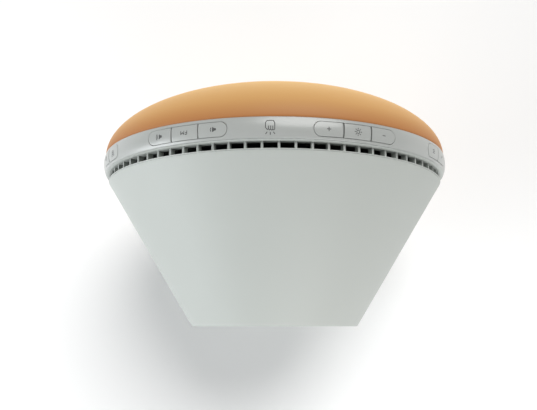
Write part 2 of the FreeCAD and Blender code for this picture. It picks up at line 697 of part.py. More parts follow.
def rounded_block(name, inset, corner, height):
    """An upright block with the foot's plan, drawn in by inset, from the foot's underside upwards."""
    body = new_body(name)
    sketch = new_sketch(body, "XY_Plane", spot(z="foot_rise"))
    half_x = f"(foot_width / 2 - {inset})"
    half_y = f"(foot_length / 2 - {inset})"
    outline(sketch, [
        (half_x, f"({FOOT_MIDDLE} - {half_y})"),
        (half_x, f"({FOOT_MIDDLE} + {half_y})"),
        (f"-{half_x}", f"({FOOT_MIDDLE} + {half_y})"),
        (f"-{half_x}", f"({FOOT_MIDDLE} - {half_y})"),
    ])
    pad(body, sketch, height)
    doc.recompute()
    upright = [
        f"Edge{number}" for number, side in enumerate(body.Shape.Edges, 1)
        if side.BoundBox.ZLength > side.BoundBox.XLength + side.BoundBox.YLength
    ]
    return put(rounded(body, upright, corner), STAND)


def stand_foot():
    """The foot: a wedge hollowed from below and shaped to the cone, with a plate, screws and pads."""
    top = f"({AXIS_HEIGHT} / 2)"
    block = rounded_block("foot_block", "0", "foot_corner", f"{top} - foot_rise")
    space = rounded_block("foot_space", "foot_wall", "foot_corner - foot_wall", f"{top} - foot_rise")
    room = cut("foot_room", space, cone_cutter("foot_roof", "fit_gap + foot_wall"))
    hollow = cut("foot_hollow", block, room)
    plate_top = "(foot_rise + foot_plate)"
    posts, bores, passes, sinks, screws, pads, seats = [], [], [], [], [], [], []
    for side in SIDES:
        x = f"({side} * foot_screw_spread)"
        tag = side + 1
        posts.append(cylinder(f"foot_post_{tag}", "foot_post", f"{top} - {plate_top}", x, FOOT_MIDDLE,
                              plate_top, [STAND]))
        bores.append(cylinder(f"foot_bore_{tag}", "screw_pass", top, x, FOOT_MIDDLE, "foot_rise", [STAND]))
        passes.append(cylinder(f"plate_pass_{tag}", "screw_pass", "2 * foot_plate",
                               x, FOOT_MIDDLE, 0, [STAND]))
        sinks.append(cylinder(f"plate_sink_{tag}", HEAD_HOLE, "foot_rise + foot_screw_head", x, FOOT_MIDDLE,
                              0, [STAND]))
        head_low = "(foot_rise + foot_screw_head)"
        shank = cylinder(f"foot_shank_{tag}", "screw_radius",
                         f"{BOSS_TOP} - shell_wall - screw_pass - {head_low}", x, FOOT_MIDDLE, head_low)
        head = cylinder(f"foot_head_{tag}", "head_radius", "head_height", x, FOOT_MIDDLE,
                        f"({head_low} - head_height)")
        drive = hexagon(f"foot_drive_{tag}", "socket_radius", "socket_depth", x, FOOT_MIDDLE,
                        f"({head_low} - head_height)")
        screws.append(cut(f"foot_screw_{tag}", fuse(f"foot_screw_body_{tag}", shank, head), drive))
        for end in SIDES:
            px = f"({side} * (foot_width / 2 - pad_inset))"
            py = f"({FOOT_MIDDLE} + {end} * (foot_length / 2 - pad_inset))"
            name = f"{tag}{end + 1}"
            pads.append(cylinder(f"pad_{name}", "pad_radius", "pad_thickness", px, py))
            seats.append(cylinder(f"pad_seat_{name}", "pad_radius + fit_gap", "pad_thickness", px, py,
                                  0, [STAND]))
    solid = fuse("foot_solid", hollow, *posts)
    subpart(cut("foot_trimmed", solid, cone_cutter("foot_seat", "fit_gap"), *bores), "stand_foot")
    plate = rounded_block("plate_block", "(foot_wall + fit_gap)", "foot_corner - foot_wall - fit_gap",
                          "foot_plate")
    subpart(cut("plate_cut", plate, *passes, *sinks, *seats), "foot_plate")
    subpart(group("foot_screw_group", *screws), "foot_screws", STAND)
    subpart(group("pad_group", *pads), "foot_pads", STAND)


POSTS = around("post_circle", 3, "post_turn")
LIGHT_SCREWS = around(LIGHT_SCREW_CIRCLE, 3, "light_screw_turn")


def mid_frame():
    """The black frame between lamp and cone: a plate with posts, screw bosses and ribs for the key boards."""
    body = turned("frame_body", [
        ("frame_hole", "rim_back"),
        (f"{RIM_INNER} - fit_gap", "rim_back"),
        (f"{RIM_INNER} - fit_gap", "rim_back + frame_flange"),
        (FRAME_RADIUS, "rim_back + frame_flange"),
        (FRAME_RADIUS, FRAME_FRONT),
        ("frame_hole", FRAME_FRONT),
    ])
    posts = new_sketch(body, "XY_Plane", spot(z="rim_back"))
    circles(posts, "post_radius", POSTS)
    pad(body, posts, "post_length", reverse=True)
    bosses = new_sketch(body, "XY_Plane", spot(z="rim_back"))
    circles(bosses, "2 * screw_radius", LIGHT_SCREWS)
    pad(body, bosses, "grip_length", reverse=True)
    drill(body, THREAD_HOLE, POSTS, POST_END, "grip_length + screw_play", down=False)
    drill(body, THREAD_HOLE, LIGHT_SCREWS, FRAME_FRONT, "grip_length + screw_play", down=True)
    clips = []
    for row, side, angle, names in ROWS:
        clip = box(f"{row}_clip", "clip_length", "clip_thickness", "clip_height")
        put(clip, spot(turn=f"{-side} * {angle}"),
            spot("-clip_length / 2", f"{KEY_BOARD_SEAT} - clip_thickness", FRAME_FRONT))
        clips.append(clip)
    subpart(fuse("frame_fuse", body, *clips), "mid_frame", HEAD)


def light_unit():
    """Heat spreader, light board with its lights and screws, and the white reflector around them."""
    spreader = turned("spreader_body", [
        ("frame_hole", FRAME_FRONT),
        ("spreader_radius", FRAME_FRONT),
        ("spreader_radius", LIGHT_BOARD_BACK),
        ("frame_hole", LIGHT_BOARD_BACK),
    ])
    drill(spreader, "screw_pass", LIGHT_SCREWS, LIGHT_BOARD_BACK, "spreader_thickness", down=True)
    subpart(spreader, "heat_spreader", HEAD)
    board = turned("light_board_body", [
        ("light_board_hole", LIGHT_BOARD_BACK),
        (LIGHT_BOARD_RADIUS, LIGHT_BOARD_BACK),
        (LIGHT_BOARD_RADIUS, LIGHT_BOARD_FRONT),
        ("light_board_hole", LIGHT_BOARD_FRONT),
    ])
    drill(board, "screw_pass", LIGHT_SCREWS, LIGHT_BOARD_FRONT, "board_thickness", down=True)
    subpart(board, "light_board", HEAD)
    rings = (("inner", INNER_LIGHT_CIRCLE, "inner_lights"), ("outer", OUTER_LIGHT_CIRCLE, "outer_lights"))
    lights = []
    for ring, circle, count in rings:
        for step in range(int(size(count))):
            light = box(f"{ring}_light_{step}", "light_size", "light_size", "light_height")
            put(light, spot(turn=f"({step} * 360 / {count})"),
                spot(f"{circle} - light_size / 2", "-light_size / 2", LIGHT_BOARD_FRONT))
            lights.append(light)
    subpart(group("light_group", *lights), "lights", HEAD)
    screws = []
    for step, (x, y) in enumerate(LIGHT_SCREWS):
        shank = cylinder(f"light_shank_{step}", "screw_radius",
                         "grip_length + spreader_thickness + board_thickness", x, y,
                         f"({FRAME_FRONT} - grip_length)")
        head = cylinder(f"light_head_{step}", "head_radius", "head_height", x, y, LIGHT_BOARD_FRONT)
        drive = hexagon(f"light_drive_{step}", "socket_radius", "socket_depth", x, y,
                        f"({LIGHT_BOARD_FRONT} + head_height - socket_depth)")
        screws.append(cut(f"light_screw_{step}", fuse(f"light_screw_body_{step}", shank, head), drive))
    subpart(group("light_screw_group", *screws), "light_screws", HEAD)
    flange = "(rim_front - dome_skirt - reflector_wall)"
    inner = "(spreader_radius + running_gap)"
    subpart(turned("reflector_body", [
        (inner, FRAME_FRONT),
        (f"{inner} + 2 * reflector_wall", FRAME_FRONT),
        (f"{REFLECTOR_MOUTH} + reflector_wall", flange),
        (KEY_REACH, flange),
        (KEY_REACH, f"{flange} + reflector_wall"),
        (REFLECTOR_MOUTH, f"{flange} + reflector_wall"),
        (inner, f"{FRAME_FRONT} + reflector_wall"),
    ]), "reflector", HEAD)


def display_unit():
    """The display's carrier in the middle of the lamp, with board, display and dark window in it."""
    inside_length = "(carrier_length - 2 * carrier_wall)"
    inside_width = "(carrier_width - 2 * carrier_wall)"
    block = box("carrier_block", "carrier_length", "carrier_width",
                f"{DISPLAY_FRONT} - {LIGHT_BOARD_FRONT}", z=LIGHT_BOARD_FRONT)
    seat = box("carrier_seat", inside_length, inside_width, f"{DISPLAY_FRONT} - {DISPLAY_BOARD_BACK}",
               z=DISPLAY_BOARD_BACK)
    shaft = box("carrier_shaft", f"{inside_length} - 2 * carrier_ledge",
                f"{inside_width} - 2 * carrier_ledge", f"{DISPLAY_FRONT} - {LIGHT_BOARD_FRONT}",
                z=LIGHT_BOARD_FRONT)
    subpart(cut("carrier_cut", block, seat, shaft), "display_carrier", HEAD)
    length = f"({inside_length} - 2 * fit_gap)"
    width = f"({inside_width} - 2 * fit_gap)"
    levels = (
        ("display_board", "board_thickness", DISPLAY_BOARD_BACK),
        ("display", "display_thickness", f"({DISPLAY_BOARD_BACK} + board_thickness)"),
        ("display_window", "window_thickness", f"({DISPLAY_FRONT} - window_thickness)"),
    )
    for name, thickness, level in levels:
        slab = bind(doc.addObject("Part::Box", f"{name}_slab"), Length=length, Width=width, Height=thickness)
        subpart(slab, name, HEAD, spot(f"-{length} / 2", f"-{width} / 2", level))


def back_plate():
    """The round cover in the flat back, with sound holes, the inlet's hole and sunk screws."""
    body = turned("plate_body", [
        ("0", "-cone_depth"),
        ("plate_radius", "-cone_depth"),
        ("plate_radius", PLATE_INNER),
        ("0", PLATE_INNER),
    ])
    drill(body, "screw_pass", POSTS, PLATE_INNER, "plate_thickness", down=True)
    drill(body, HEAD_HOLE, POSTS, "-cone_depth", "head_height + screw_play", down=False)
    inlet = [("0", "-inlet_drop")]
    drill(body, "inlet_radius + screw_play", inlet, PLATE_INNER, "plate_thickness", down=True)
    drill(body, "inlet_flange + fit_gap", inlet, "-cone_depth", "inlet_flange_depth", down=False)
    holes = [cylinder("sound_hole", "grille_hole", "3 * plate_thickness", 0, "speaker_rise",
                      "(-cone_depth - plate_thickness)")]
    for ring in range(1, int(size("grille_rings")) + 1):
        for step, (x, y) in enumerate(around(f"({ring} * grille_pitch)", 6 * ring)):
            holes.append(cylinder(f"sound_hole_{ring}_{step}", "grille_hole", "3 * plate_thickness", x,
                                  f"({y} + speaker_rise)", "(-cone_depth - plate_thickness)"))
    subpart(cut("back_cut", body, group("sound_holes", *holes)), "back_plate", HEAD)
    screws = []
    spacers = []
    for step, (x, y) in enumerate(POSTS):
        seat = "(head_height + screw_play - cone_depth)"
        shank = cylinder(f"back_shank_{step}", "screw_radius",
                         "plate_thickness + grip_length - head_height - screw_play", x, y, seat)
        head = cylinder(f"back_head_{step}", "head_radius", "head_height", x, y, f"({seat} - head_height)")
        drive = hexagon(f"back_drive_{step}", "socket_radius", "socket_depth", x, y,
                        f"({seat} - head_height)")
        screws.append(cut(f"back_screw_{step}", fuse(f"back_screw_body_{step}", shank, head), drive))
        rod = cylinder(f"spacer_rod_{step}", "spacer_radius", f"{BOARD_BACK} - {PLATE_INNER}",
                       x, y, PLATE_INNER)
        stud = cylinder(f"spacer_stud_{step}", "screw_radius", "board_thickness + grip_length",
                        x, y, BOARD_BACK)
        bore = cylinder(f"spacer_bore_{step}", THREAD_HOLE, "grip_length + screw_play", x, y, PLATE_INNER)
        spacers.append(cut(f"spacer_{step}", fuse(f"spacer_body_{step}", rod, stud), bore))
    subpart(group("back_screw_group", *screws), "back_screws", HEAD)
    subpart(group("spacer_group", *spacers), "board_spacers", HEAD)


# Parts on the back of the main board: kind, size across, size up, height, and place
CHIPS = (
    ("processor", 14, 14, 1.4, 14, 4),
    ("radio_chip", 8, 8, 1.2, 16, 20),
    ("sound_chip", 10, 7, 1.8, -14, 8),
    ("coil", 9, 9, 5, 12, -18),
)
CANS = (("large_can", 4, 12, 10, -30), ("small_can", 3, 8, -12, 30), ("clock_can", 2.5, 6, 30, 6))


def main_board():
    """The main board on the frame's posts, and what is soldered to its back."""
    body = turned("main_board_body", [
        ("0", BOARD_BACK),
        ("main_board_radius", BOARD_BACK),
        ("main_board_radius", POST_END),
        ("0", POST_END),
    ])
    drill(body, "screw_pass", POSTS, POST_END, "board_thickness", down=True)
    subpart(body, "main_board", HEAD)
    members = []
    for name, length, width, height, x, y in CHIPS:
        members.append(box(name, length, width, height, x, y, f"({BOARD_BACK} - {height})"))
    for name, radius, height, x, y in CANS:
        members.append(cylinder(name, radius, height, x, y, f"({BOARD_BACK} - {height})"))
    for name, (x, y) in LEAD_SOCKETS.items():
        members.append(box(name, "socket_length", "socket_width", "socket_height", x, y, LEAD_SOCKET_END))
    subpart(group("board_part_group", *members), "board_parts", HEAD)


LEAD_SOCKETS = {
    "power_socket": ("0", "-inlet_drop"),
    "speaker_socket": ("0", "(speaker_rise + magnet_radius + lead_radius + fit_gap)"),
}


def speaker():
    """The loudspeaker behind the back cover: foam ring, basket, magnet and moving cone."""
    place = spot(y="speaker_rise")
    rim_top = f"({SPEAKER_BACK} + speaker_wall)"
    subpart(turned("gasket_body", [
        ("speaker_radius - speaker_rim", PLATE_INNER),
        ("speaker_radius", PLATE_INNER),
        ("speaker_radius", SPEAKER_BACK),
        ("speaker_radius - speaker_rim", SPEAKER_BACK),
    ]), "speaker_gasket", HEAD, place)
    subpart(turned("basket_body", [
        ("speaker_radius - speaker_rim", SPEAKER_BACK),
        ("speaker_radius", SPEAKER_BACK),
        ("speaker_radius", rim_top),
        ("speaker_radius - speaker_rim + speaker_wall", rim_top),
        ("speaker_throat", SPEAKER_FLOOR),
        ("0", SPEAKER_FLOOR),
        ("0", f"{SPEAKER_FLOOR} - speaker_wall"),
        ("speaker_throat - speaker_wall", f"{SPEAKER_FLOOR} - speaker_wall"),
        ("speaker_radius - speaker_rim", rim_top),
    ]), "speaker_basket", HEAD, place)
    subpart(cylinder("magnet_body", "magnet_radius", "magnet_height"), "speaker_magnet", HEAD,
            spot(y="speaker_rise", z=SPEAKER_FLOOR))
    edge = "(speaker_radius - speaker_rim - running_gap)"
    dip = f"({SPEAKER_BACK} + speaker_depth / 2)"
    subpart(turned("moving_cone_body", [
        ("0", f"{dip} - cone_sheet"),
        ("coil_radius", f"{dip} - cone_sheet"),
        (edge, SPEAKER_BACK),
        (edge, f"{SPEAKER_BACK} + cone_sheet"),
        ("coil_radius", dip),
        ("0", dip),
    ]), "speaker_cone", HEAD, place)


def power_inlet():
    """The power inlet: a sunk socket with a contact pin, and the nut that holds it in the cover."""
    bore_end = "(inlet_depth - cone_depth)"
    place = spot(y="-inlet_drop")
    subpart(turned("inlet_body", [
        ("0", bore_end),
        ("inlet_bore", bore_end),
        ("inlet_bore", "-cone_depth"),
        ("inlet_flange", "-cone_depth"),
        ("inlet_flange", INLET_SEAT),
        ("inlet_radius", INLET_SEAT),
        ("inlet_radius", INLET_END),
        ("0", INLET_END),
    ]), "inlet_shell", HEAD, place)
    pin = cylinder("pin_body", "inlet_pin", "inlet_depth - inlet_flange_depth")
    subpart(pin, "inlet_pin", HEAD, spot(y="-inlet_drop", z=INLET_SEAT))
    nut = cut("nut_cut", hexagon("nut_block", "nut_radius", "nut_height"),
              cylinder("nut_hole", "inlet_radius + screw_play", "nut_height"))
    subpart(nut, "inlet_nut", HEAD, spot(y="-inlet_drop", z=PLATE_INNER))


def leads():
    """Straight leads inside the lamp, from socket to socket."""
    runs = {
        "power_leads": (LEAD_SOCKETS["power_socket"], INLET_END, LEAD_SOCKET_END),
        "speaker_leads": (LEAD_SOCKETS["speaker_socket"], SPEAKER_FLOOR, LEAD_SOCKET_END),
        "light_leads": (("0", "(light_board_hole + lead_spread)"), POST_END, LIGHT_BOARD_BACK),
        "display_leads": (("0", "0"), POST_END, DISPLAY_BOARD_BACK),
    }
    for name, ((x, y), low, high) in runs.items():
        wires = [
            cylinder(f"{name}_{side + 1}", "lead_radius", f"{high} - {low}",
                     f"({x} + {side} * lead_spread / 2)", y, low)
            for side in SIDES
        ]
        subpart(group(f"{name}_group", *wires), name, HEAD)


front_diffuser()
rim_band()
keys()
key_boards()
vent_ring()
rear_housing()
stand_foot()
mid_frame()
light_unit()
display_unit()
back_plate()
main_board()
speaker()
power_inlet()
leads()
doc.recompute()

faults = [thing.Label for thing in doc.Objects if {"Invalid", "Error"} & set(thing.State)]
for thing in subparts:
    if thing.Shape.isNull() or not thing.Shape.isValid() or not thing.Shape.Solids:
        faults.append(thing.Label)
if faults:
    raise RuntimeError(f"these objects failed: {sorted(set(faults))}")

os.makedirs("parts", exist_ok=True)
for thing in subparts:
    thing.Shape.exportStep(f"parts/{thing.Label}.step")
print(f"{len(subparts)} sub-parts written")
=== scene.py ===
"""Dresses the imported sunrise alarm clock: lit dome, rim, keys with signs, conical back, studio and camera."""
import json
import math

import bpy
from mathutils import Matrix, Vector


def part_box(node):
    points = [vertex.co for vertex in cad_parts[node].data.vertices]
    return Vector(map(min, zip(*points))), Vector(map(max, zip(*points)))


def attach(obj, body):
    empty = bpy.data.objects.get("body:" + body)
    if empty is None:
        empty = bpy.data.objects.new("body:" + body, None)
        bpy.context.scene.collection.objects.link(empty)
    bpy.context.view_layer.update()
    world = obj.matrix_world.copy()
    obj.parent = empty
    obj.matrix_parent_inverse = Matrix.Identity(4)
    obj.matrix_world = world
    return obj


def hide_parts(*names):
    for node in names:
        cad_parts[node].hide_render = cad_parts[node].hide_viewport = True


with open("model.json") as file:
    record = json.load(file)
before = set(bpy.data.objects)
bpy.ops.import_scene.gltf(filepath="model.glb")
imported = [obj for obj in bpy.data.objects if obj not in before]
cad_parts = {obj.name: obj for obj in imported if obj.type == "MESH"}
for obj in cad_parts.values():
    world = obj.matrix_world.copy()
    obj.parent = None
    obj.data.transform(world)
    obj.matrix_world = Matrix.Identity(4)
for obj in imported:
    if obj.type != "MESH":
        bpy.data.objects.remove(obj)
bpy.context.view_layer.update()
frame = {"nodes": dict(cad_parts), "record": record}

bl_info = {
    "name": "Sunrise Alarm Clock",
    "version": (1, 0, 0),
    "blender": (4, 5, 0),
    "location": "3D View > Sidebar > Sunrise Clock",
    "description": "Models the clock's visible pieces on the CAD frame and sets up its studio",
    "category": "Object",
}

MM = 0.001
HOUSING = "housing"
RIM_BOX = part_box("rim_band")

# The lamp's own frame starts in the middle of the cone's front edge. Its Z is the lamp's axis towards the lit
# face, its Y is up along the face.
LEAN = math.radians(12)
HEAD_FORWARD = 0.014058
HEAD_HEIGHT = 0.090637
HEAD = Matrix.Translation((0, -HEAD_FORWARD, HEAD_HEIGHT)) @ Matrix.Rotation(math.pi / 2 - LEAN, 4, "X")

# Key rows: side of the lamp, angle from the top in degrees, and keys from the top outwards
ROWS = (
    (1, 24.4, ("volume_down_key", "radio_key", "volume_up_key")),
    (-1, 24.4, ("light_up_key", "lamp_key", "light_down_key")),
    (1, 62.0, ("alarm_one_key", "alarm_two_key")),
    (-1, 62.0, ("menu_key", "select_key")),
)


def length(name, meaning, value):
    return bpy.props.FloatProperty(
        name=name, description=meaning, default=value, min=0, subtype="DISTANCE", unit="LENGTH", precision=5
    )


def colour(name, meaning, value):
    return bpy.props.FloatVectorProperty(
        name=name, description=meaning, default=value, size=3, min=0, max=1, subtype="COLOR"
    )


class ClockSizes(bpy.types.PropertyGroup):
    """Sizes of the visible pieces."""

    rim_radius: length("Rim radius", "Rim at its widest", RIM_BOX[1].x)
    rim_inside: length("Rim inside", "Inside radius of the rim", 88.9 * MM)
    rim_back: length("Rim back", "Rim's back edge, above the cone's front edge", 4.1 * MM)
    rim_front: length("Rim front", "Rim's front edge, above the cone's front edge", 13.85 * MM)
    rim_widest: length("Rim widest", "Level at which the rim is widest", 9.4 * MM)
    rim_crown: length("Rim crown", "Radius of the rim's rounded outside", 12 * MM)
    dome_radius: length("Dome radius", "Lit dome at its edge", 91.2 * MM)
    dome_height: length("Dome height", "Lit dome above the rim", 36 * MM)
    dome_wall: length("Dome wall", "Wall of the dome", 2.4 * MM)
    cone_radius: length("Cone radius", "Cone at its front edge", 89 * MM)
    cone_depth: length("Cone depth", "Cone from its front edge to the flat back", 74.4 * MM)
    back_radius: length("Back radius", "Flat back", 43.8 * MM)
    cover_radius: length("Cover radius", "Opening for the round back cover", 36.2 * MM)
    key_height: length("Key height", "Key along the lamp's axis", 6.35 * MM)
    key_pitch: length("Key pitch", "Distance between two keys of a row", 13.7 * MM)
    key_split: length("Key split", "Gap between two keys of a row", 0.7 * MM)
    key_level: length("Key level", "Middle of the keys above the cone's front edge", 8.8 * MM)
    key_gap: length("Key gap", "Gap between a key and the rim", 0.25 * MM)
    key_proud: length("Key stand", "Key's stand above the rim", 0.12 * MM)
    key_edge: length("Key edge", "Rounding of a key's edge", 0.3 * MM)
    stroke: length("Sign stroke", "Half the width of a printed line", 0.27 * MM)


class ClockColours(bpy.types.PropertyGroup):
    """Colours of the visible finishes."""

    dome_edge: colour("Dome edge", "Lit dome beside the rim", (0.41, 0.175, 0.066))
    dome_middle: colour("Dome middle", "Lit dome in its middle", (0.72, 0.44, 0.165))
    rim: colour("Rim", "Rim and keys", (0.41, 0.425, 0.41))
    shell: colour("Shell", "Cone, foot and back cover", (0.46, 0.485, 0.46))
    ink: colour("Ink", "Printed signs", (0.05, 0.05, 0.05))
    floor: colour("Floor", "Floor of the studio", (0.90, 0.90, 0.90))


# Shader values and finishes
class Value:
    """A shader socket that joins in sums: an expression on values adds its Math nodes."""

    def __init__(self, finish, socket):
        self.finish = finish
        self.socket = socket

    def _sum(self, operation, first, second):
        return self.finish.node("ShaderNodeMath", {"operation": operation}, {0: first, 1: second})

    def __add__(self, other):
        return self._sum("ADD", self, other)

    def __sub__(self, other):
        return self._sum("SUBTRACT", self, other)

    def __truediv__(self, other):
        return self._sum("DIVIDE", self, other)

    def __radd__(self, other):
        return self._sum("ADD", other, self)

    def __rmul__(self, other):
        return self._sum("MULTIPLY", other, self)


class Finish:
    """A procedural material, built from the nodes that its methods add."""

    def __init__(self, name):
        self.material = bpy.data.materials.new(name)
        self.material.use_nodes = True
        self.tree = self.material.node_tree
        self.tree.nodes.clear()

    def node(self, kind, settings=None, values=None, out=0):
        """Adds a node with its settings and inputs, and gives one of its outputs."""
        made = self.tree.nodes.new(kind)
        for key, value in (settings or {}).items():
            if key == "stops":
                ramp = made.color_ramp
                while len(ramp.elements) < len(value):
                    ramp.elements.new(0.5)
                for element, (place, shade) in zip(ramp.elements, value):
                    element.position = place
                    element.color = (*shade, 1)
            else:
                setattr(made, key, value)
        for key, value in (values or {}).items():
            if isinstance(value, Value):
                self.tree.links.new(value.socket, made.inputs[key])
            else:
                made.inputs[key].default_value = value
        return Value(self, made.outputs[out]) if made.outputs else None

    def place(self):
        """Where a point is at rest, in the shared frame."""
        return self.node("ShaderNodeTexCoord", out="Object")

    def along(self, direction, start):
        """How far a point lies along a direction from a start, in metres."""
        vectors = {0: self.place(), 1: tuple(direction)}
        reach = self.node("ShaderNodeVectorMath", {"operation": "DOT_PRODUCT"}, vectors, "Value")
        return reach - Vector(direction).dot(Vector(start))

    def noise(self, scale, detail=3.0, stretch=(1, 1, 1)):
        """Clouds from 0 to 1, finer as the scale grows."""
        spread = self.node("ShaderNodeMapping", {}, {"Vector": self.place(), "Scale": stretch})
        return self.node("ShaderNodeTexNoise", {}, {"Vector": spread, "Scale": scale, "Detail": detail})

    def mix(self, share, first, second):
        """A colour between two colours. The Mix node has its colours at inputs 6 and 7 and output 2."""
        colours = [shade if isinstance(shade, Value) else (*shade, 1) for shade in (first, second)]
        return self.node("ShaderNodeMix", {"data_type": "RGBA"}, {0: share, 6: colours[0], 7: colours[1]}, 2)

    def bump(self, height, depth):
        """The normal of a surface that rises with height, by up to depth in metres."""
        return self.node("ShaderNodeBump", {}, {"Height": height, "Distance": depth, "Strength": 1.0})

    def surface(self, **values):
        """The shader itself, with its inputs by name. Gives the finished material."""
        named = {
            key.replace("_", " ").title().replace("Ior", "IOR"): value
            for key, value in values.items()
        }
        shader = self.node("ShaderNodeBsdfPrincipled", {}, named)
        self.node("ShaderNodeOutputMaterial", {}, {"Surface": shader})
        return self.material


# Marks of the finishes: scales of their patterns, and how far these change gloss and shade
FLOW_SCALE = 14.0
FLOW_GLOSS = 0.10
LINE_SCALE = 900.0
LINE_STRETCH = (1, 1, 40)
LINE_GLOSS = 0.16
RUN_SCALE = 260.0
WEAVE_SCALE = 1200.0
CLOUD_SCALE = 9.0
CLOUD_SHARE = 0.04
GLOW_GRAIN = 2400.0

# Light that the lit dome gives off
GLOW_STRENGTH = 0.6


def shades(tint, spread):
    """A darker and a lighter tone of a colour."""
    return tuple(part * (1 - spread) for part in tint), tuple(min(1, part * (1 + spread)) for part in tint)


def moulded(name, tint, rough, grain=2600.0, depth=0.00003, spread=0.03, **more):
    """Moulded plastic: a fine spark-eroded grain, faint flow marks and uneven gloss."""
    finish = Finish(name)
    dark, light = shades(tint, spread)
    flow = finish.noise(FLOW_SCALE, 2.0)
    fine = finish.noise(grain, 2.0)
    tone = finish.mix(flow, dark, light)
    return finish.surface(
        base_color=tone,
        roughness=rough + FLOW_GLOSS * (flow - 0.5),
        normal=finish.bump(fine, depth),
        **more,
    )


def brushed(name, tint, rough):
    """Drawn or turned metal with fine level lines."""
    finish = Finish(name)
    dark, light = shades(tint, 0.08)
    lines = finish.noise(LINE_SCALE, 2.0, LINE_STRETCH)
    return finish.surface(
        base_color=finish.mix(lines, dark, light),
        metallic=1.0,
        roughness=rough + LINE_GLOSS * (lines - 0.5),
        normal=finish.bump(lines, 0.00001),
    )


def laminate(name, tint):
    """Circuit board: solder mask over a faint glass weave and copper runs."""
    finish = Finish(name)
    pattern = {
        "Vector": finish.place(),
        "Scale": RUN_SCALE,
        "Mortar Size": 0.03,
        "Color1": (0, 0, 0, 1),
        "Color2": (0.1, 0.1, 0.1, 1),
        "Mortar": (1, 1, 1, 1),
    }
    runs = finish.node("ShaderNodeTexBrick", {"offset": 0.37}, pattern, "Fac")
    dark, light = shades(tint, 0.25)
    tone = finish.mix(finish.noise(WEAVE_SCALE, 2.0), dark, light)
    return finish.surface(
        base_color=finish.mix(runs, tone, tuple(1.6 * part for part in tint)),
        roughness=0.32 + 0.15 * runs,
        normal=finish.bump(runs, 0.00003),
    )


def glowing(name, edge, middle):
    """The lit diffuser: the warm light inside fades towards the rim, through faintly clouded plastic."""
    finish = Finish(name)
    front = HEAD.to_3x3() @ Vector((0, 0, 1))
    sizes = bpy.context.scene.clock_sizes
    rise = finish.along(front, HEAD @ Vector((0, 0, sizes.rim_front)))
    height = rise / sizes.dome_height
    cloud = finish.noise(CLOUD_SCALE, 2.0)
    level = height + CLOUD_SHARE * (cloud - 0.5)
    blend = tuple(0.45 * first + 0.55 * second for first, second in zip(edge, middle))
    bright = tuple(min(1, 1.2 * part) for part in middle)
    stops = ((0.0, edge), (0.25, blend), (0.6, middle), (1.0, bright))
    tone = finish.node("ShaderNodeValToRGB", {"stops": stops}, {"Fac": level})
    return finish.surface(
        base_color=finish.mix(0.5, (0, 0, 0), tone),
        roughness=0.5 + 0.1 * (cloud - 0.5),
        emission_color=tone,
        emission_strength=GLOW_STRENGTH,
        normal=finish.bump(finish.noise(GLOW_GRAIN, 2.0), 0.00002),
        specular_ior_level=0.15,
    )


def finishes():
    """One material for each slot of the record, and one for the printed signs."""
    colours = bpy.context.scene.clock_colours
    rim = tuple(colours.rim)
    shell = tuple(colours.shell)
    coat = {"coat_weight": 0.25, "coat_roughness": 0.2}
    return {
        "diffuser": glowing("warm diffuser", tuple(colours.dome_edge), tuple(colours.dome_middle)),
        "rim": moulded("satin rim", rim, 0.30, 3200.0, 0.000006, 0.015, **coat),
        "keys": moulded("satin keys", rim, 0.30, 3200.0, 0.000006, 0.015, **coat),
        "shell": moulded("matte shell", shell, 0.55, 2400.0, 0.00002, 0.02),
        "vents": moulded("vent ribs", shell, 0.45, 2600.0, 0.00002, 0.03),
        "black_plastic": moulded("black plastic", (0.035, 0.037, 0.034), 0.6),
        "circuit_board": laminate("green board", (0.02, 0.12, 0.05)),
        "board_chips": moulded("chip resin", (0.02, 0.02, 0.022), 0.45, 4000.0),
        "switches": moulded("switch bodies", (0.03, 0.03, 0.035), 0.4),
        "heat_sink": brushed("rolled aluminium", (0.77, 0.78, 0.80), 0.35),
        "light_chips": moulded("light chips", (0.85, 0.62, 0.18), 0.25, 5000.0),
        "white_plastic": moulded("reflector white", (0.85, 0.85, 0.84), 0.5),
        "steel_screws": brushed("zinc steel", (0.55, 0.56, 0.58), 0.32),
        "brass_fittings": brushed("turned brass", (0.78, 0.58, 0.25), 0.28),
        "display": moulded("display resin", (0.01, 0.01, 0.011), 0.2, 4000.0),
        "smoked_window": moulded("smoked window", (0.03, 0.025, 0.022), 0.08, 3000.0, 0.000002, alpha=0.7),
        "foam": moulded("open foam", (0.02, 0.02, 0.02), 0.95, 1400.0, 0.0002, 0.3),
        "magnet": brushed("plated magnet", (0.35, 0.35, 0.37), 0.4),
        "paper_cone": moulded("pressed paper", (0.03, 0.03, 0.033), 0.85, 1800.0, 0.00006, 0.2),
        "rubber_pads": moulded("pad rubber", (0.03, 0.03, 0.03), 0.8, 2000.0, 0.00005, 0.1),
        "lead_insulation": moulded("lead insulation", (0.35, 0.03, 0.02), 0.4),
        "ink": moulded("printed ink", tuple(colours.ink), 0.5, 3000.0, 0.00001, 0.1),
    }


FINISHES = {}


# Points closer than WELD become one. NEAR is how far a corner may lie off the end face it belongs to.
WELD = 0.000002
NEAR = MM / 100

# Fine measures of the shapes
DOME_LIP = 0.35 * MM
DOME_EDGE_WALL = 3.8 * MM
SKIRT_PLAY = 0.2 * MM
SKIRT_DEPTH = 1.0 * MM
RIM_LIP = 0.3 * MM
OPENING_EDGE = 0.15 * MM
OPENING_EDGE_DEPTH = 2.2 * MM
RIM_FACE_MARGIN = 0.6 * MM
CAP_DEPTH = 1.4 * MM
CAP_LIP = 0.1 * MM
CAP_EDGE_DEPTH = 1.5 * MM
TAP_SIGN_RISE = 0.4 * MM
CONE_LIP = 0.35 * MM
CONE_BEND = 1.2 * MM
CONE_WALL = 2.2 * MM
BACK_WALL = 4.8 * MM
COVER_SEAT = 2.6 * MM
BACK_HOLE = 33 * MM

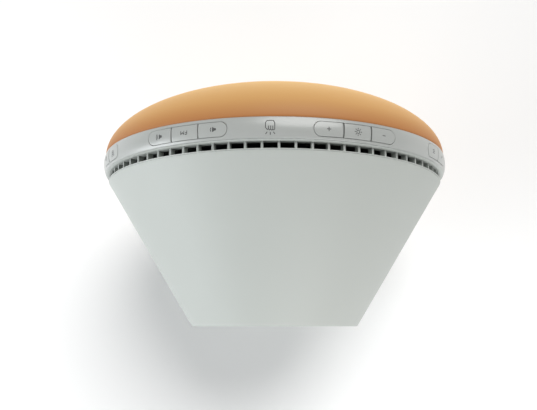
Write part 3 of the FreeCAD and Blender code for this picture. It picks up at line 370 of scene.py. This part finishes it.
# The cutters for openings and keys reach from inside the rim's wall to outside it
CUTTER_INSIDE = 77 * MM
CUTTER_OUTSIDE = 104 * MM

# Steps of the rounded shapes
DOME_STEPS = 48
DOME_TURNS = 200
CROWN_STEPS = 18
RIM_TURNS = 360
KEY_END_STEPS = 14
EASED_STEPS = 3
CONE_STEPS = 24
CONE_TURNS = 256
BEND_STEPS = 6

# A bevel a little short of the half height rounds a key's end without closing up
END_SHARE = 0.998
SHARP = math.radians(50)


# Modelling steps
def deselect():
    """Leaves edit mode and deselects every piece."""
    if bpy.context.object and bpy.context.object.mode != "OBJECT":
        bpy.ops.object.mode_set(mode="OBJECT")
    bpy.ops.object.select_all(action="DESELECT")


def take(piece):
    """Makes one piece the selected and active one."""
    deselect()
    piece.select_set(True)
    bpy.context.view_layer.objects.active = piece


def edit(select="SELECT", kind="VERT"):
    """Starts edit mode with all points or edges selected or deselected."""
    bpy.ops.object.mode_set(mode="EDIT")
    bpy.ops.mesh.select_mode(type=kind)
    bpy.ops.mesh.select_all(action=select)


def done():
    """Ends edit mode."""
    bpy.ops.object.mode_set(mode="OBJECT")


def turned(name, outline, steps):
    """Spins an outline of (radius, height) points round Z, from one point drawn out along the outline."""
    deselect()
    bpy.ops.mesh.primitive_plane_add(size=MM, location=(0, 0, 0))
    piece = bpy.context.object
    piece.name = name
    edit()
    bpy.ops.mesh.merge(type="CENTER")
    bpy.ops.transform.translate(value=(outline[0][0], 0, outline[0][1]))
    for start, end in zip(outline, outline[1:]):
        step = (end[0] - start[0], 0, end[1] - start[1])
        bpy.ops.mesh.extrude_region_move(TRANSFORM_OT_translate={"value": step})
    bpy.ops.mesh.select_all(action="SELECT")
    bpy.ops.mesh.spin(steps=steps, angle=2 * math.pi, center=(0, 0, 0), axis=(0, 0, 1))
    bpy.ops.mesh.select_all(action="SELECT")
    bpy.ops.mesh.remove_doubles(threshold=WELD)
    bpy.ops.mesh.normals_make_consistent(inside=False)
    done()
    return piece


def settle(piece, place, slot, body=HOUSING, angle=35):
    """Sets a piece in the shared frame with its place in its mesh, shades it and gives it finish and body."""
    take(piece)
    piece.matrix_world = place @ piece.matrix_world
    bpy.ops.object.transform_apply(location=True, rotation=True, scale=True)
    bpy.ops.object.shade_smooth_by_angle(angle=math.radians(angle))
    piece.data.materials.clear()
    piece.data.materials.append(FINISHES[slot])
    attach(piece, body)


def arc(centre, radius, start, end, count):
    """Points along an arc, angles in degrees."""
    turns = [math.radians(start + (end - start) * step / count) for step in range(count + 1)]
    return [(centre[0] + radius * math.cos(turn), centre[1] + radius * math.sin(turn)) for turn in turns]


def crown_radius(sizes, level, proud=0.0):
    """Radius of the rim's rounded outside at a level."""
    middle = sizes.rim_radius + proud - sizes.rim_crown
    return middle + math.sqrt(sizes.rim_crown ** 2 - (level - sizes.rim_widest) ** 2)


def crowned_outline(sizes, inside, proud, edge):
    """The rim's section, with its two outer corners eased by edge."""
    middle = sizes.rim_radius + proud - sizes.rim_crown
    low, high = (
        math.degrees(math.asin((level - sizes.rim_widest) / sizes.rim_crown))
        for level in (sizes.rim_back + edge, sizes.rim_front - edge)
    )
    face = arc((middle, sizes.rim_widest), sizes.rim_crown, low, high, CROWN_STEPS)
    back = (crown_radius(sizes, sizes.rim_back, proud) - edge, sizes.rim_back)
    front = (crown_radius(sizes, sizes.rim_front, proud) - edge, sizes.rim_front)
    return [(inside, sizes.rim_back), back, *face, front, (inside, sizes.rim_front), (inside, sizes.rim_back)]


def plan_prism(name, width, height, low, high, rounded):
    """A prism along Y with a key's plan: its ends are half round where rounded says so."""
    deselect()
    bpy.ops.mesh.primitive_cube_add(size=1, location=(0, (low + high) / 2, 0))
    piece = bpy.context.object
    piece.name = name
    piece.scale = (width, high - low, height)
    bpy.ops.object.transform_apply(location=True, rotation=True, scale=True)
    for side, wanted in zip((-1, 1), rounded):
        if wanted:
            edit("DESELECT", "EDGE")
            done()
            for line in piece.data.edges:
                ends = [piece.data.vertices[index].co for index in line.vertices]
                along = abs(ends[0].y - ends[1].y) > (high - low) / 2
                line.select = along and all(end.x * side > width / 2 - NEAR for end in ends)
            bpy.ops.object.mode_set(mode="EDIT")
            bpy.ops.mesh.bevel(offset=height / 2 * END_SHARE, segments=KEY_END_STEPS, affect="EDGES")
            done()
    return piece


def combine(piece, other, operation):
    """Cuts or meets a piece with another, which is used up."""
    take(piece)
    step = piece.modifiers.new("cut", "BOOLEAN")
    step.operation = operation
    step.solver = "EXACT"
    step.object = other
    bpy.ops.object.modifier_apply(modifier=step.name)
    bpy.data.objects.remove(other)


def ease(piece, width, wanted):
    """Rounds the sharp edges whose middle is wanted."""
    take(piece)
    edit("DESELECT", "EDGE")
    bpy.ops.mesh.edges_select_sharp(sharpness=SHARP)
    done()
    for line in piece.data.edges:
        if line.select:
            ends = [piece.data.vertices[index].co for index in line.vertices]
            line.select = wanted((ends[0] + ends[1]) / 2)
    bpy.ops.object.mode_set(mode="EDIT")
    bpy.ops.mesh.bevel(offset=width, segments=EASED_STEPS, affect="EDGES", clamp_overlap=True)
    done()


def row_turn(side, angle):
    """From a key row's frame, whose Y points out at the row's middle, to the lamp's frame."""
    return Matrix.Rotation(math.radians(-side * angle), 4, "Z")


def row_spots(side, names):
    """Places of a row's keys along its X, in pitches."""
    middle = (len(names) - 1) / 2
    return [(name, side * (step - middle)) for step, name in enumerate(names)]


def ring(x, y, radius, start=0, end=360, count=20):
    """A round stroke of a sign, whole or in part."""
    return arc((x, y), radius, start, end, count)


# Share of a stroke's half width by which its middle lies under the surface, and the rough length of its
# straight pieces in millimetres
SIGN_SINK = 0.75
STROKE_PIECE = 0.4

# Signs: strokes in millimetres, right and up as a reader in front of the lamp sees them
LOUDSPEAKER = [
    [(-1.6, 0.35), (-0.95, 0.35), (-0.2, 1.0), (-0.2, -1.0), (-0.95, -0.35), (-1.6, -0.35), (-1.6, 0.35)],
    [(-1.5, 0), (-0.4, 0)],
    [(-0.5, 0.6), (-0.5, -0.6)],
]
SIGNS = {
    "volume_up_key": LOUDSPEAKER + [ring(-0.3, 0, 1.1, -48, 48, 8), ring(-0.3, 0, 1.85, -44, 44, 10)],
    "volume_down_key": LOUDSPEAKER + [ring(-0.3, 0, 1.1, -48, 48, 8)],
    "radio_key": [
        [(-1.6, -0.8), (-1.6, 0.8), (-0.6, 0.8)], [(-1.6, 0.05), (-0.8, 0.05)],
        [(-0.1, -0.8), (-0.1, 0.8), (0.7, -0.2), (1.5, 0.8), (1.5, -0.8)],
    ],
    "light_up_key": [[(-0.95, 0), (0.95, 0)], [(0, -0.95), (0, 0.95)]],
    "light_down_key": [[(-0.85, 0), (0.85, 0)]],
    "lamp_key": [ring(0, 0, 0.72)] + [
        [(1.15 * math.cos(turn), 1.15 * math.sin(turn)), (1.75 * math.cos(turn), 1.75 * math.sin(turn))]
        for turn in (math.pi / 4 * step for step in range(8))
    ],
    "alarm_one_key": [
        ring(0, -0.1, 1.1), [(0, 0.5), (0, -0.1), (0.45, -0.3)], ring(-1.0, 1.0, 0.5, 60, 210, 6),
        ring(1.0, 1.0, 0.5, -30, 120, 6),
    ],
    "alarm_two_key": [
        [(-1.1, -0.8), (1.1, -0.8)], ring(0, 0, 0.85, 0, 180, 10), [(-0.85, 0), (-1.1, -0.8)],
        [(0.85, 0), (1.1, -0.8)], ring(0, -1.05, 0.3, 200, 340, 5),
    ],
    "menu_key": [[(-1.1, 0.75), (1.1, 0.75)], [(-1.1, 0), (1.1, 0)], [(-1.1, -0.75), (1.1, -0.75)]],
    "select_key": [[(-1.1, 0.0), (-0.35, -0.75), (1.15, 0.8)]],
}
TAP_SIGN = [
    [(-1.9, 1.2), (-1.9, -1.6), (-1.2, -2.5), (1.3, -2.5), (2.0, -1.6), (2.0, 0.6)],
    [(-1.9, 1.2), (-1.5, 1.7), (-1.1, 1.2), (-1.1, -0.2)],
    [(-1.1, 1.2), (-0.7, 1.8), (-0.2, 1.2), (-0.2, -0.2)],
    [(-0.2, 1.2), (0.3, 1.7), (0.7, 1.2), (0.7, -0.2)],
    [(0.7, 1.0), (1.2, 1.5), (1.6, 1.0), (2.0, 0.6)],
    [(0.0, 2.5), (0.0, 3.6)],
    [(-1.3, 2.4), (-2.0, 3.3)],
    [(1.3, 2.4), (2.0, 3.3)],
]


def printed(name, strokes, sizes, shift, level, proud, place, body):
    """Thin raised print that follows the rim's rounded outside."""
    deselect()
    data = bpy.data.curves.new(name, "CURVE")
    data.dimensions = "3D"
    data.bevel_depth = sizes.stroke
    data.bevel_resolution = 2
    data.use_fill_caps = True
    for stroke in strokes:
        points = []
        for start, end in zip(stroke, stroke[1:]):
            parts = max(1, round(math.dist(start, end) / STROKE_PIECE))
            for part in range(parts):
                points.append([first + (last - first) * part / parts for first, last in zip(start, end)])
        points.append(stroke[-1])
        line = data.splines.new("POLY")
        line.points.add(len(points) - 1)
        for point, (right, up) in zip(line.points, points):
            x = shift + right * MM
            z = level - up * MM
            radius = crown_radius(sizes, z, proud) - SIGN_SINK * sizes.stroke
            point.co = (x, math.sqrt(radius ** 2 - x ** 2), z, 1)
    piece = bpy.data.objects.new(name, data)
    bpy.context.scene.collection.objects.link(piece)
    take(piece)
    bpy.ops.object.convert(target="MESH")
    settle(piece, place, "ink", body, 60)


class AddDome(bpy.types.Operator):
    """Spins the lit dome and its skirt, and hides the plain solid behind it"""

    bl_idname = "clock.add_dome"
    bl_label = "Add lit dome"
    bl_options = {"REGISTER", "UNDO"}

    def execute(self, context):
        sizes = context.scene.clock_sizes
        base = sizes.rim_front
        wide = sizes.dome_radius
        high = sizes.dome_height
        inner_wide = wide - DOME_EDGE_WALL
        inner_high = high - sizes.dome_wall
        turns = [math.pi / 2 * step / DOME_STEPS for step in range(DOME_STEPS + 1)]
        outside = [(wide * math.cos(turn), base + high * math.sin(turn)) for turn in turns[1:-1]]
        inside = [(inner_wide * math.cos(turn), base + inner_high * math.sin(turn)) for turn in turns[:-1]]
        skirt = sizes.rim_inside - SKIRT_PLAY
        outline = [
            (0, base + high),
            *reversed(outside),
            (wide - 0.1 * DOME_LIP, base + DOME_LIP),
            (wide - DOME_LIP, base),
            (skirt, base),
            (skirt, base - SKIRT_DEPTH),
            (inner_wide, base - SKIRT_DEPTH),
            *inside,
            (0, base + inner_high),
        ]
        dome = turned("lit_dome", outline, DOME_TURNS)
        settle(dome, HEAD, "diffuser", angle=50)
        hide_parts("front_diffuser")
        return {"FINISHED"}


class AddRim(bpy.types.Operator):
    """Spins the rim, cuts the long openings for the key rows and eases their edges"""

    bl_idname = "clock.add_rim"
    bl_label = "Add rim"
    bl_options = {"REGISTER", "UNDO"}

    def execute(self, context):
        sizes = context.scene.clock_sizes
        height = sizes.key_height + 2 * sizes.key_gap
        low = sizes.rim_back + RIM_FACE_MARGIN
        high = sizes.rim_front - RIM_FACE_MARGIN
        reach = sizes.rim_radius - OPENING_EDGE_DEPTH
        rim = turned("rim_shell", crowned_outline(sizes, sizes.rim_inside, 0, RIM_LIP), RIM_TURNS)
        for side, angle, names in ROWS:
            width = sizes.key_pitch * len(names) - sizes.key_split + 2 * sizes.key_gap
            cutter = plan_prism("opening", width, height, CUTTER_INSIDE, CUTTER_OUTSIDE, (True, True))
            cutter.matrix_world = row_turn(side, angle) @ Matrix.Translation((0, 0, sizes.key_level))
            combine(rim, cutter, "DIFFERENCE")
        ease(rim, OPENING_EDGE, lambda spot: spot.xy.length > reach and low < spot.z < high)
        settle(rim, HEAD, "rim")
        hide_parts("rim_band")
        return {"FINISHED"}


class AddKeys(bpy.types.Operator):
    """Shapes each key from the rim's rounded outside, eases its edge and prints its sign"""

    bl_idname = "clock.add_keys"
    bl_label = "Add keys"
    bl_options = {"REGISTER", "UNDO"}

    def execute(self, context):
        sizes = context.scene.clock_sizes
        width = sizes.key_pitch - sizes.key_split
        height = sizes.key_height
        level = sizes.key_level
        proud = sizes.key_proud
        reach = sizes.rim_radius - CAP_EDGE_DEPTH
        outline = crowned_outline(sizes, sizes.rim_inside - CAP_DEPTH, proud, CAP_LIP)
        for side, angle, names in ROWS:
            place = HEAD @ row_turn(side, angle)
            for name, step in row_spots(side, names):
                shift = step * sizes.key_pitch
                cap = turned(f"{name}_cap", outline, RIM_TURNS)
                is_end = name in (names[0], names[-1])
                rounded = (is_end and step < 0, is_end and step > 0)
                cutter = plan_prism("plan", width, height, CUTTER_INSIDE, CUTTER_OUTSIDE, rounded)
                cutter.matrix_world = Matrix.Translation((shift, 0, level))
                combine(cap, cutter, "INTERSECT")
                ease(cap, sizes.key_edge, lambda spot: spot.xy.length > reach)
                settle(cap, place, "keys", name)
                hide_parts(name)
                printed(f"{name}_sign", SIGNS[name], sizes, shift, level, proud, place, name)
        return {"FINISHED"}


class AddTapSign(bpy.types.Operator):
    """Prints the sign of a tapping hand at the top of the rim"""

    bl_idname = "clock.add_tap_sign"
    bl_label = "Add tap sign"
    bl_options = {"REGISTER", "UNDO"}

    def execute(self, context):
        sizes = context.scene.clock_sizes
        printed("tap_sign", TAP_SIGN, sizes, 0, sizes.key_level + TAP_SIGN_RISE, 0, HEAD, HOUSING)
        return {"FINISHED"}


class AddCone(bpy.types.Operator):
    """Spins the conical back with its wall, its eased lip and its rounded back edge"""

    bl_idname = "clock.add_cone"
    bl_label = "Add conical back"
    bl_options = {"REGISTER", "UNDO"}

    def execute(self, context):
        sizes = context.scene.clock_sizes
        wide = sizes.cone_radius
        narrow = sizes.back_radius
        depth = sizes.cone_depth
        slope = math.atan2(wide - narrow, depth)
        wall = CONE_WALL / math.cos(slope)
        side = [
            (wide - (wide - narrow) * step / CONE_STEPS, -depth * step / CONE_STEPS)
            for step in range(1, CONE_STEPS)
        ]
        reach = CONE_BEND * math.tan((math.pi / 2 - slope) / 2)
        corner = (narrow - reach, CONE_BEND - depth)
        bent = arc(corner, CONE_BEND, -math.degrees(slope), -90, BEND_STEPS)
        inner_depth = depth - BACK_WALL
        inner_back = wide - wall - inner_depth * math.tan(slope)
        outline = [
            (wide - wall, 0),
            (wide - CONE_LIP, 0),
            (wide - 0.3 * CONE_LIP, -0.5 * CONE_LIP),
            *side,
            *bent,
            (sizes.cover_radius, -depth),
            (sizes.cover_radius, COVER_SEAT - depth),
            (BACK_HOLE, COVER_SEAT - depth),
            (BACK_HOLE, -inner_depth),
            (inner_back, -inner_depth),
            (wide - wall, 0),
        ]
        cone = turned("cone_shell", outline, CONE_TURNS)
        settle(cone, HEAD, "shell", angle=30)
        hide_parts("rear_housing")
        return {"FINISHED"}


class DressFrame(bpy.types.Operator):
    """Gives every CAD piece its procedural finish"""

    bl_idname = "clock.dress_frame"
    bl_label = "Dress CAD pieces"
    bl_options = {"REGISTER", "UNDO"}

    def execute(self, context):
        slots = {entry["node"]: entry["material_slot"] for entry in frame["record"]["subparts"]}
        for name, piece in frame["nodes"].items():
            piece.data.materials.clear()
            piece.data.materials.append(FINISHES[slots[name]])
        return {"FINISHED"}


# The camera stands in the plane of the flat back, above it, and looks down and forwards
CAMERA_HEIGHT = 374.2 * MM
CAMERA_BACK = 74.4 * MM
CAMERA_ROLL = math.radians(1.15)
CAMERA_PITCH = math.radians(9.97)
FOCAL_PIXELS = 690
PICTURE_WIDTH = 537
SHIFT_PIXELS = 6.1
SENSOR_WIDTH = 36
CLIP_START = 0.01

# Lamps: kind, place, power and tint, then the sun's angle or the side of the square area
LAMPS = (
    ("lamp_high", "SUN", (-0.36, -0.58, 1.2), 2.7, (1.0, 0.995, 0.985), "angle", math.radians(48)),
    ("lamp_left", "AREA", (1.0, 0.45, 0.26), 9.5, (0.93, 0.97, 1.0), "size", 0.7),
    ("lamp_behind", "AREA", (-0.16, 0.47, 0.16), 1.3, (1.0, 1.0, 1.0), "size", 0.35),
)
LAMP_AIM = Vector((0, 0, 0.09))
FLOOR_SIZE = 8
FLOOR_GLOW = 0.05
AIR_STRENGTH = 0.15
WHITE = (1, 1, 1, 1)


class AddStudio(bpy.types.Operator):
    """Adds the pale floor, the soft lamps, the world and the camera of the photograph"""

    bl_idname = "clock.add_studio"
    bl_label = "Add studio"
    bl_options = {"REGISTER", "UNDO"}

    def execute(self, context):
        self.floor()
        for entry in LAMPS:
            self.lamp(*entry)
        self.world()
        self.camera()
        bpy.context.scene.view_settings.view_transform = "Standard"
        return {"FINISHED"}

    def floor(self):
        """A pale matte floor that the camera sees a little brighter than it lights the clock."""
        deselect()
        bpy.ops.mesh.primitive_plane_add(size=FLOOR_SIZE, location=(0, 0, 0))
        floor = bpy.context.object
        floor.name = "studio_floor"
        finish = Finish("pale floor")
        shade = tuple(bpy.context.scene.clock_colours.floor)
        dark, light = shades(shade, 0.01)
        tone = finish.mix(finish.noise(3.0), dark, light)
        matte = finish.node("ShaderNodeBsdfDiffuse", {}, {"Color": tone})
        glow = finish.node("ShaderNodeEmission", {}, {"Color": WHITE, "Strength": FLOOR_GLOW})
        both = finish.node("ShaderNodeAddShader", {}, {0: matte, 1: glow})
        ray = finish.node("ShaderNodeLightPath", {}, {}, "Is Camera Ray")
        mixed = finish.node("ShaderNodeMixShader", {}, {0: ray, 1: matte, 2: both})
        finish.node("ShaderNodeOutputMaterial", {}, {"Surface": mixed})
        floor.data.materials.append(finish.material)

    def lamp(self, name, kind, place, power, tint, width_name, width):
        """A lamp that shines at the clock's middle."""
        deselect()
        bpy.ops.object.light_add(type=kind, location=place)
        lamp = bpy.context.object
        lamp.name = name
        lamp.data.energy = power
        lamp.data.color = tint
        setattr(lamp.data, width_name, width)
        aim = LAMP_AIM - Vector(place)
        lamp.rotation_euler = aim.to_track_quat("-Z", "Y").to_euler()

    def world(self):
        """Dim white air for the light, full white where the camera sees it."""
        world = bpy.data.worlds.new("studio air")
        bpy.context.scene.world = world
        world.use_nodes = True
        tree = world.node_tree
        air = tree.nodes["Background"]
        air.inputs["Color"].default_value = WHITE
        air.inputs["Strength"].default_value = AIR_STRENGTH
        white = tree.nodes.new("ShaderNodeBackground")
        white.inputs["Color"].default_value = WHITE
        seen = tree.nodes.new("ShaderNodeLightPath")
        chosen = tree.nodes.new("ShaderNodeMixShader")
        tree.links.new(seen.outputs["Is Camera Ray"], chosen.inputs[0])
        tree.links.new(air.outputs[0], chosen.inputs[1])
        tree.links.new(white.outputs[0], chosen.inputs[2])
        tree.links.new(chosen.outputs[0], tree.nodes["World Output"].inputs["Surface"])

    def camera(self):
        """The camera that the photograph was fitted with."""
        turn = HEAD.to_3x3() @ Matrix.Rotation(CAMERA_ROLL, 3, "Z")
        back = turn @ Vector((0, 0, -1))
        high = turn @ Vector((0, 1, 0))
        place = HEAD.translation + CAMERA_BACK * back + CAMERA_HEIGHT * high
        look = -math.sin(CAMERA_PITCH) * back - math.cos(CAMERA_PITCH) * high
        top = -math.cos(CAMERA_PITCH) * back + math.sin(CAMERA_PITCH) * high
        right = look.cross(top)
        data = bpy.data.cameras.new("photo camera")
        data.sensor_width = SENSOR_WIDTH
        data.lens = SENSOR_WIDTH * FOCAL_PIXELS / PICTURE_WIDTH
        data.shift_x = -SHIFT_PIXELS / PICTURE_WIDTH
        data.clip_start = CLIP_START
        camera = bpy.data.objects.new("photo_camera", data)
        bpy.context.scene.collection.objects.link(camera)
        camera.matrix_world = Matrix((right, top, -look)).transposed().to_4x4()
        camera.matrix_world.translation = place
        bpy.context.scene.camera = camera


class ClockPanel(bpy.types.Panel):
    """Lists the clock's sizes, colours and steps."""

    bl_idname = "VIEW3D_PT_sunrise_clock"
    bl_label = "Sunrise Clock"
    bl_space_type = "VIEW_3D"
    bl_region_type = "UI"
    bl_category = "Sunrise Clock"

    def draw(self, context):
        for group in (context.scene.clock_sizes, context.scene.clock_colours):
            column = self.layout.column()
            for name in type(group).__annotations__:
                column.prop(group, name)
        for step in STEPS:
            self.layout.operator(step.bl_idname)


STEPS = (DressFrame, AddDome, AddRim, AddKeys, AddTapSign, AddCone, AddStudio)
CLASSES = (ClockSizes, ClockColours, *STEPS, ClockPanel)


def register():
    for kind in CLASSES:
        bpy.utils.register_class(kind)
    bpy.types.Scene.clock_sizes = bpy.props.PointerProperty(type=ClockSizes)
    bpy.types.Scene.clock_colours = bpy.props.PointerProperty(type=ClockColours)


def unregister():
    del bpy.types.Scene.clock_colours
    del bpy.types.Scene.clock_sizes
    for kind in reversed(CLASSES):
        bpy.utils.unregister_class(kind)


def main():
    register()
    FINISHES.update(finishes())
    for step in STEPS:
        group, name = step.bl_idname.split(".")
        getattr(getattr(bpy.ops, group), name)()


if __name__ == "__main__":
    main()
